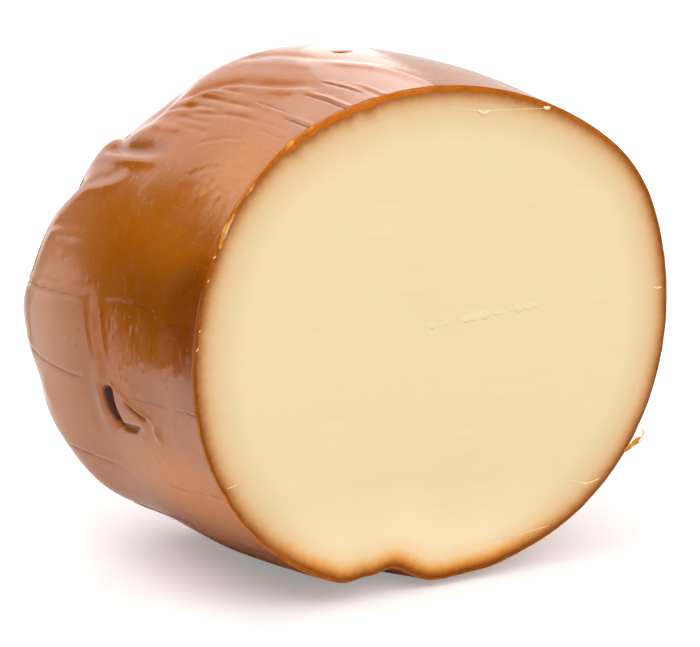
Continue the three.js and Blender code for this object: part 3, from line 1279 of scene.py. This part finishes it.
@dataclass(frozen=True)
class RindFinish:
    """Smoked skin: orange-brown, darker in the folds by painted shade, softly glossy, finely pimpled; patches
    of painted shade, highlight and sheen change its colour too.
    """

    colour: tuple = (0.50, 0.132, 0.002, 1.0)
    light: tuple = (0.57, 0.165, 0.006, 1.0)
    dark: tuple = (0.43, 0.105, 0.001, 1.0)
    # smoked is the smoke colour that also serves as painted shade; pale is a painted highlight colour
    smoked: tuple = (0.28, 0.058, 0.0005, 1.0)
    pale: tuple = (0.72, 0.21, 0.006, 1.0)
    # crease and pit are painted shade colours for the folds and pits
    crease: tuple = (0.21, 0.042, 0.0005, 1.0)
    pit: tuple = (0.085, 0.012, 0.0005, 1.0)
    # painted sheen colour
    painted_sheen: tuple = (0.70, 0.40, 0.27, 1.0)
    cloud_scale: float = 38.0
    grain_scale: float = 520.0
    grain_share: float = 0.4
    roughness: float = 0.14
    gloss_scale: float = 160.0
    gloss_spread: tuple = (-0.03, 0.06)
    crease_roughness: float = 0.55
    ior: float = 1.5
    glow_share: float = 0.2
    glow_colours: tuple = (1.0, 0.35, 0.08)
    glow_depth: float = 0.0015
    pimple_scale: float = 480.0
    pimple_rise: float = 8.0
    pimple_edge: tuple = (0.06, 0.15)
    bump_strength: float = 0.12
    bump_height: float = 0.00012

    def build(self) -> bpy.types.Material:
        """Make the material.

        Returns:
            The material.
        """
        material, n, shader = new_material("smoked rind")
        place = n.add("ShaderNodeTexCoord").outputs["Object"]
        clouds = n.noise(place, self.cloud_scale, 3.0, 0.5)
        fine = n.grain(place, self.grain_scale, 0.0, 1.0)
        base = n.mix(n.step(clouds, 0.3, 0.7), self.dark, self.colour)
        base = n.mix(n.step(fine, 0.5, 1.0, 0.0, self.grain_share), base, self.light)
        # smoke colour and painted shade darken the rind where the patches are positive; a painted highlight
        # makes it pale where they are negative
        smoke = n.mask(Mask.SMOKE)
        base = n.mix(n.step(smoke, 0.0, 1.0), base, self.smoked)
        base = n.mix(n.step(smoke, 0.0, -1.0), base, self.pale)
        # painted sheen: a paler, milky colour where a sheen of reflected light shows
        base = n.mix(n.mask(Mask.BLOOM), base, self.painted_sheen)
        # painted shade: the colour darkens to the crease colour and then the pit colour where folds and pits
        # lie in shade
        hollow_shade = n.mask(Mask.STAIN)
        base = n.mix(n.step(hollow_shade, 0.05, 0.8), base, self.crease)
        base = n.mix(n.step(hollow_shade, 0.8, 1.2), base, self.pit)
        n.put(shader.inputs["Base Color"], base)
        least, most = (self.roughness + change for change in self.gloss_spread)
        rough = n.step(n.noise(place, self.gloss_scale, 3.0), 0.3, 0.7, least, most)
        rough = n.math("ADD", rough, n.step(hollow_shade, 0.45, 0.95, 0.0, self.crease_roughness))
        n.put(shader.inputs["Roughness"], rough)
        shader.inputs["IOR"].default_value = self.ior
        shader.inputs["Subsurface Weight"].default_value = self.glow_share
        shader.inputs["Subsurface Radius"].default_value = self.glow_colours
        shader.inputs["Subsurface Scale"].default_value = self.glow_depth
        cells = n.add("ShaderNodeTexVoronoi", {"Vector": place, "Scale": self.pimple_scale})
        pimples = n.step(cells.outputs["Distance"], *self.pimple_edge, self.pimple_rise, 0.0)
        n.bump(shader, n.math("ADD", fine, pimples), self.bump_strength, self.bump_height)
        return material


@dataclass(frozen=True)
class PasteFinish:
    """Cream paste, stained by the smoke just inside the rind, with a painted glow of light shining through it
    near the bottom of the rim.
    """

    stains: tuple = (
        (0.0, (0.36, 0.115, 0.018, 1.0)),
        (0.6, (0.47, 0.19, 0.065, 1.0)),
        (1.3, (0.63, 0.32, 0.125, 1.0)),
        (2.3, (0.74, 0.465, 0.23, 1.0)),
        (3.6, (0.80, 0.56, 0.30, 1.0)),
        (6.0, (0.84, 0.64, 0.36, 1.0)),
        (10.0, (0.872, 0.712, 0.432, 1.0)),
    )
    rind_bright: tuple = (0.63, 0.155, 0.002, 1.0)
    rind_dark: tuple = (0.27, 0.07, 0.001, 1.0)
    # brighter, warmer colours that stand for light shining through the paste: a painted glow
    painted_glow_colours: tuple = (
        (0.0, (0.22, 0.052, 0.002, 1.0)),
        (0.5, (0.40, 0.12, 0.010, 1.0)),
        (1.0, (0.62, 0.21, 0.030, 1.0)),
        (1.6, (0.82, 0.34, 0.065, 1.0)),
        (2.6, (0.93, 0.56, 0.23, 1.0)),
        (3.8, (0.97, 0.71, 0.41, 1.0)),
        (6.5, (0.99, 0.80, 0.51, 1.0)),
        (18.0, (0.872, 0.712, 0.432, 1.0)),
    )
    scraped: tuple = (0.93, 0.78, 0.52, 1.0)
    shaded: tuple = (0.80, 0.62, 0.34, 1.0)
    fray_scale: float = 900.0
    fray: float = 0.12
    fleck_scale: float = 420.0
    knife_stretch: tuple = (0.035, 0.0, 1.0)
    knife_scale: float = 420.0
    wander_scale: float = 55.0
    scraped_share: float = 0.16
    shaded_share: float = 0.1
    roughness: float = 0.5
    ior: float = 1.45
    gloss: float = 0.12
    glow_share: float = 0.12
    glow_colours: tuple = (1.0, 0.6, 0.3)
    glow_depth: float = 0.001
    score_strength: float = 0.1
    score_height: float = 0.00006

    def build(self) -> bpy.types.Material:
        """Make the material.

        Returns:
            The material.
        """
        material, n, shader = new_material("cheese paste")
        place = n.add("ShaderNodeTexCoord").outputs["Object"]
        # painted glow: near the bottom of the rim the paste takes the brighter colours of light shining
        # through it
        painted_glow = n.mask(Mask.GLOW)
        fray = n.grain(place, self.fray_scale, -self.fray, self.fray)
        gap = n.math("ADD", n.math("SUBTRACT", n.mask(Mask.FROM_RIM), n.mask(Mask.RIND_WIDTH)), fray)
        base = n.mix(painted_glow, n.colours(gap, self.stains), n.colours(gap, self.painted_glow_colours))
        flecks = n.grain(place, self.fleck_scale, -0.25, 0.2)
        tone = n.math("ADD", n.mask(Mask.RIND_TONE), flecks, clamp=True)
        stretched = n.add("ShaderNodeVectorMath", {0: place, 1: self.knife_stretch}, operation="MULTIPLY")
        knife = n.noise(stretched.outputs[0], self.knife_scale, 3.0, 0.65)
        wander = n.noise(place, self.wander_scale, 2.0)
        spread = n.math("MULTIPLY", n.step(wander, 0.42, 0.66), n.step(gap, 4.0, 12.0))
        streaks = n.math("MULTIPLY", n.step(knife, 0.38, 0.66, -1.0, 1.0), spread)
        base = n.mix(n.step(streaks, 0.0, 1.0, 0.0, self.scraped_share), base, self.scraped)
        base = n.mix(n.step(streaks, 0.0, -1.0, 0.0, self.shaded_share), base, self.shaded)
        base = n.mix(n.step(gap, -0.12, 0.1), n.mix(tone, self.rind_dark, self.rind_bright), base)
        n.put(shader.inputs["Base Color"], base)
        shader.inputs["Roughness"].default_value = self.roughness
        shader.inputs["IOR"].default_value = self.ior
        shader.inputs["Specular IOR Level"].default_value = self.gloss
        shader.inputs["Subsurface Weight"].default_value = self.glow_share
        shader.inputs["Subsurface Radius"].default_value = self.glow_colours
        shader.inputs["Subsurface Scale"].default_value = self.glow_depth
        n.bump(shader, streaks, self.score_strength, self.score_height)
        return material


@dataclass(frozen=True)
class ShavingFinish:
    """A thin shaving or crumb, matt, mottled between two colours."""

    name: str
    colour: tuple
    light: tuple
    grain_scale: float = 700.0
    roughness: float = 0.5
    gloss: float = 0.15
    ior: float = 1.45

    def build(self) -> bpy.types.Material:
        """Make the material.

        Returns:
            The material.
        """
        material, n, shader = new_material(self.name)
        place = n.add("ShaderNodeTexCoord").outputs["Object"]
        mottled = n.mix(n.grain(place, self.grain_scale, 0.0, 1.0), self.colour, self.light)
        n.put(shader.inputs["Base Color"], mottled)
        shader.inputs["Roughness"].default_value = self.roughness
        shader.inputs["Specular IOR Level"].default_value = self.gloss
        shader.inputs["IOR"].default_value = self.ior
        return material


SCRAPED_PASTE = ShavingFinish("scraped paste", (0.87, 0.71, 0.43, 1.0), (0.91, 0.76, 0.49, 1.0))
LIT_RIND = ShavingFinish("lit rind", (0.55, 0.16, 0.01, 1.0), (0.85, 0.36, 0.05, 1.0))
PALE_RIND = ShavingFinish("pale rind", (0.74, 0.42, 0.19, 1.0), (0.90, 0.66, 0.40, 1.0))


# ---------------------------------------------------------------- studio


def towards(azimuth: float, elevation: float) -> Vector:
    """Unit vector at an azimuth counted from -Y towards +X and an elevation, in degrees."""
    a, e = math.radians(azimuth), math.radians(elevation)
    return Vector((math.sin(a) * math.cos(e), -math.cos(a) * math.cos(e), math.sin(e)))


@dataclass(frozen=True)
class Softbox:
    """A soft light panel that faces the cheese; sizes and distance in metres."""

    name: str
    azimuth: float
    elevation: float
    distance: float
    width: float
    height: float
    radiance: float

    def build(self, aim: Vector) -> None:
        """Hang the panel where it faces a point.

        Args:
            aim: The point, in metres.
        """
        light = bpy.data.lights.new(self.name, "AREA")
        light.shape = "RECTANGLE"
        light.size, light.size_y = self.width, self.height
        light.energy = self.radiance * math.pi * self.width * self.height
        lamp = bpy.data.objects.new(self.name, light)
        bpy.context.scene.collection.objects.link(lamp)
        away = towards(self.azimuth, self.elevation)
        lamp.location = aim + away * self.distance
        lamp.rotation_mode = "QUATERNION"
        lamp.rotation_quaternion = away.to_track_quat("Z", "Y")
        lamp.visible_camera = False


@dataclass(frozen=True)
class Flag:
    """A black card that keeps a strip of the surroundings dark in the rind's gloss; in metres."""

    near_corner: tuple = (-0.112, 0.165)
    far_corner: tuple = (-0.205, 0.105)
    height: float = 0.12
    foot_share: float = 0.36

    def build(self) -> None:
        """Stand the card on the floor, its far side cut slanting, unseen by the camera itself."""
        deselect_all()
        bpy.ops.mesh.primitive_plane_add(size=1.0)
        card = bpy.context.object
        card.name = "black_card"
        near, far = Vector((*self.near_corner, 0.0)), Vector((*self.far_corner, 0.0))
        for vertex in card.data.vertices:
            top = vertex.co.y > 0
            reach = 0.0 if vertex.co.x < 0 else (1.0 if top else self.foot_share)
            foot = near.lerp(far, reach)
            vertex.co = (foot.x, foot.y, self.height if top else 0.0)
        material, _, shader = new_material("black card")
        shader.inputs["Base Color"].default_value = BLACK
        shader.inputs["Specular IOR Level"].default_value = 0.0
        card.data.materials.append(material)
        card.visible_camera = card.visible_shadow = card.visible_diffuse = False


@dataclass(frozen=True)
class Studio:
    """Pale floor, soft light and the camera; in metres, the lens and its sensor in millimetres."""

    floor_radius: float = 12.0
    floor_corners: int = 96
    floor_white: float = 0.86
    floor_roughness: float = 0.7
    floor_lit: float = 0.35
    floor_lift: float = 0.3
    floor_glow: float = 1.3
    ambient: float = 0.06
    softboxes: tuple = (
        Softbox("back panel", 176.5, 26.0, 0.9, 1.0, 0.85, 1.5),
        Softbox("right panel", 122.0, 22.0, 0.9, 1.0, 0.85, 0.9),
        Softbox("left softbox", -90.0, 62.0, 0.8, 0.85, 0.6, 1.6),
        Softbox("left card", -119.0, 4.0, 0.6, 0.5, 0.14, 1.1),
        Softbox("front softbox", 5.0, 38.0, 0.9, 1.0, 0.9, 2.44),
        Softbox("top softbox", 180.0, 82.0, 0.8, 0.7, 0.7, 1.2),
    )
    dark_card: Flag = Flag()
    camera_azimuth: float = -30.0
    camera_elevation: float = 11.0
    camera_distance: float = 0.3757
    camera_lens: float = 100.0
    camera_sensor: float = 36.0
    camera_nearest: float = 0.01
    aim: tuple = (-0.0196, -0.043, 0.05694)

    def camera(self) -> None:
        """Stand the camera in front of the cut, a little to the left and above."""
        data = bpy.data.cameras.new("view")
        data.lens = self.camera_lens
        data.sensor_width = self.camera_sensor
        data.clip_start = self.camera_nearest
        camera = bpy.data.objects.new("view", data)
        bpy.context.scene.collection.objects.link(camera)
        away = towards(self.camera_azimuth, self.camera_elevation)
        camera.location = Vector(self.aim) + away * self.camera_distance
        camera.rotation_mode = "QUATERNION"
        camera.rotation_quaternion = away.to_track_quat("Z", "Y")
        bpy.context.scene.camera = camera

    def floor(self) -> None:
        """A round pale floor under the cheese; past the lamps' reach it glows for the camera."""
        deselect_all()
        bpy.ops.mesh.primitive_circle_add(
            vertices=self.floor_corners, radius=self.floor_radius, fill_type="NGON"
        )
        floor = bpy.context.object
        floor.name = "floor"
        material, n, shader = new_material("pale floor")
        shader.inputs["Roughness"].default_value = self.floor_roughness
        place = n.add("ShaderNodeTexCoord").outputs["Object"]
        away = n.add("ShaderNodeVectorMath", {0: place}, operation="LENGTH").outputs["Value"]
        far = n.step(away, self.floor_lit, 3.0 * self.floor_lit, self.floor_lift, self.floor_glow)
        camera_ray = n.add("ShaderNodeLightPath").outputs["Is Camera Ray"]
        shader.inputs["Base Color"].default_value = (*(self.floor_white,) * 3, 1.0)
        shader.inputs["Emission Color"].default_value = WHITE
        n.put(shader.inputs["Emission Strength"], n.math("MULTIPLY", far, camera_ray))
        floor.data.materials.append(material)

    def world(self) -> None:
        """White for the camera, and a dim even light for everything else."""
        world = bpy.data.worlds.new("studio")
        bpy.context.scene.world = world
        world.use_nodes = True
        n = Nodes(world.node_tree)
        camera_ray = n.add("ShaderNodeLightPath").outputs["Is Camera Ray"]
        background = world.node_tree.nodes["Background"]
        background.inputs["Color"].default_value = WHITE
        n.put(background.inputs["Strength"], n.step(camera_ray, 0.0, 1.0, self.ambient, 1.0))

    def build(self) -> None:
        """Set up the camera, the floor and the light."""
        self.camera()
        self.floor()
        self.world()
        self.dark_card.build()
        for softbox in self.softboxes:
            softbox.build(Vector(self.aim))
        bpy.context.scene.view_settings.view_transform = "Standard"


def dress(slivers: tuple, finish: ShavingFinish, middle: Vector) -> None:
    """Build some slivers and give them one finish.

    Args:
        slivers: The slivers to build.
        finish: The finish they share.
        middle: The middle of the cut face, in metres.
    """
    material = finish.build()
    for sliver in slivers:
        piece = sliver.build(middle)
        piece.data.materials.append(material)
        log.info("%s: %d faces", piece.name, len(piece.data.polygons))


def main() -> None:
    """Build the studio, the cheese and what the knife left, and report each."""
    logging.basicConfig(level=logging.INFO, format="%(name)s: %(message)s")
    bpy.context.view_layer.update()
    Studio().build()
    log.info("studio ready")
    cheese = CheeseBody().build(*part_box(CAD_NODE))
    cheese.data.materials.append(RindFinish().build())
    cheese.data.materials.append(PasteFinish().build())
    log.info("%s: %d faces", cheese.name, len(cheese.data.polygons))
    middle = BodyForm().middle_of_cut(*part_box(CAD_NODE))
    dress(BURRS, SCRAPED_PASTE, middle)
    dress(SHREDS, LIT_RIND, middle)
    dress(PALE_BITS, PALE_RIND, middle)


if __name__ == "__main__":
    main()
